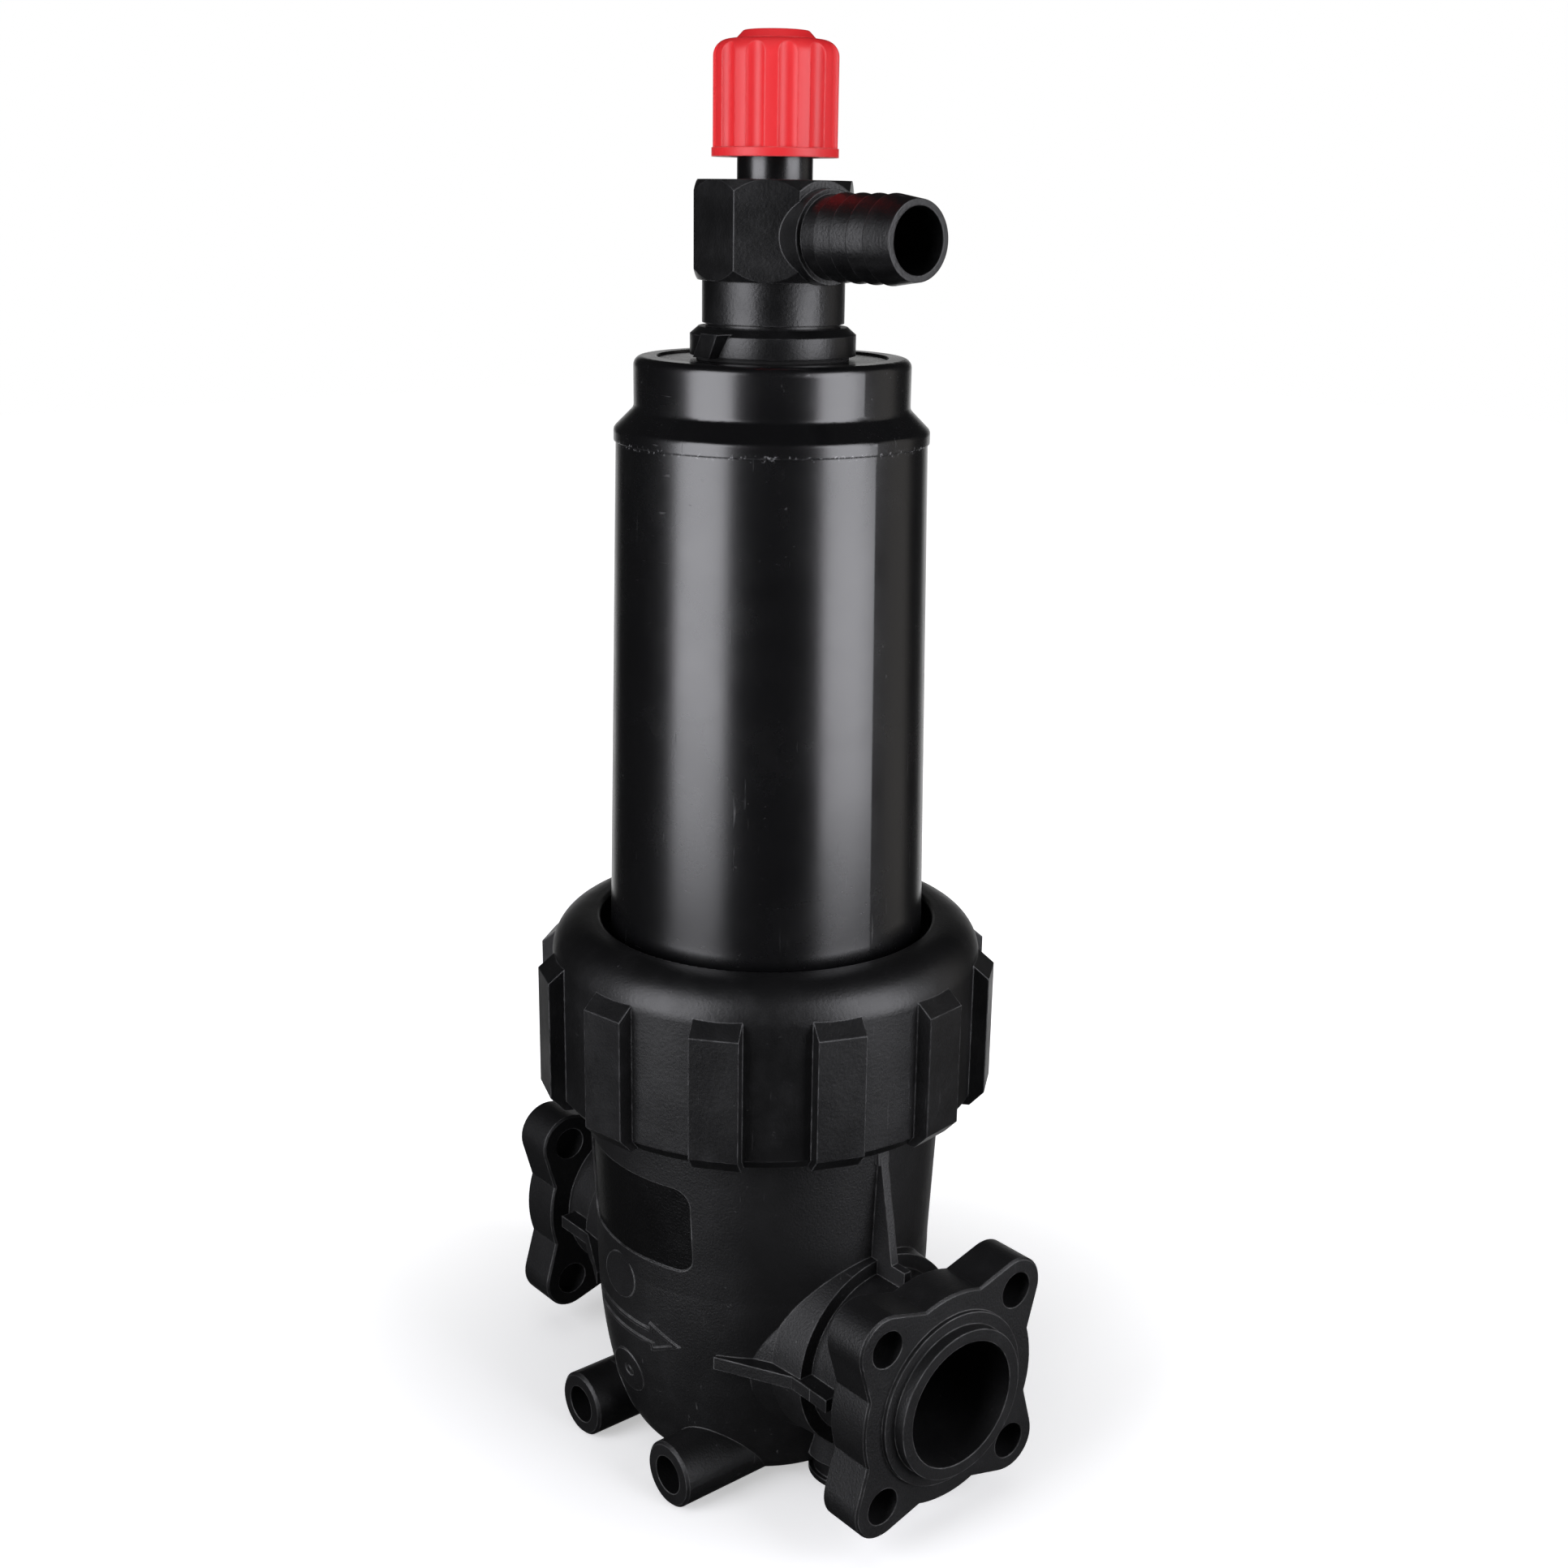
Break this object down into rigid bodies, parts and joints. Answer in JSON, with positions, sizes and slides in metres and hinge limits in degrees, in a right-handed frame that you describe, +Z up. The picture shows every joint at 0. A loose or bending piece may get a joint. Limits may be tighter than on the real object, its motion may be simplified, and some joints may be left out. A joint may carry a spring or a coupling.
{
  "type": "pressure line filter",
  "caption": "Inverted pressure filter with flanged ports, mounting tubes, ribbed ring nut, long tapering bowl, screen cartridge and a flush valve with hose tail and knob.",
  "frame": {"origin": "on the filter's axis at the level that the two mounting tubes stand on", "axes": "+Z up the filter's axis from the head to the knob, +X out of the outlet port and along the hose tail, -Y towards the side with the moulded marks"},
  "size_m": [0.18, 0.1362, 0.4149],
  "materials": {
    "head_plastic": "satin moulded black",
    "nut_plastic": "satin moulded black",
    "bowl_plastic": "satin black with a soft sheen",
    "valve_plastic": "satin moulded black",
    "knob_red": "satin dark red",
    "plug_plastic": "satin moulded black",
    "seal_rubber": "matt black",
    "cage_plastic": "natural white",
    "screen_steel": "woven wire",
    "spindle_brass": "turned",
    "shutter_plastic": "natural acetal",
    "screw_steel": "bright zinc"
  },
  "bodies": {
    "head": {"filter_head": "head_plastic", "gauge_plug": "plug_plastic", "gauge_plug_seal": "seal_rubber", "bowl_seal": "seal_rubber", "cartridge_cage": "cage_plastic", "cartridge_screen": "screen_steel", "cartridge_lower_seal": "seal_rubber", "cartridge_upper_seal": "seal_rubber"},
    "bowl": {"bowl": "bowl_plastic", "valve_gasket": "seal_rubber", "valve_lock_ring": "valve_plastic", "valve_body": "valve_plastic", "valve_bonnet": "valve_plastic", "bonnet_seal": "seal_rubber", "spindle_seal": "seal_rubber"},
    "ring_nut": {"ring_nut": "nut_plastic"},
    "plunger": {"valve_plunger": "shutter_plastic", "plunger_seal": "seal_rubber"},
    "knob": {"knob": "knob_red", "knob_cap": "knob_red", "knob_screw": "screw_steel", "spindle": "spindle_brass"}
  },
  "joints": [
    {"name": "bowl_lift", "type": "slide", "parent": "head", "child": "bowl", "axis": [0, 0, 1], "range_m": [0, 0.16]},
    {"name": "nut_turn", "type": "hinge", "parent": "bowl", "child": "ring_nut", "pos_m": [0, 0, 0.14], "axis": [0, 0, 1], "range_deg": [0, 1080]},
    {"name": "plunger_lift", "type": "slide", "parent": "bowl", "child": "plunger", "axis": [0, 0, 1], "range_m": [0, 0.00601]},
    {"name": "knob_turn", "type": "hinge", "parent": "plunger", "child": "knob", "pos_m": [0, 0, 0.39], "axis": [0, 0, 1], "range_deg": [0, 1080]}
  ],
  "couplings": [
    {"joint": "plunger_lift", "follows": "knob_turn", "m_per_rad": 0.00031831}
  ]
}
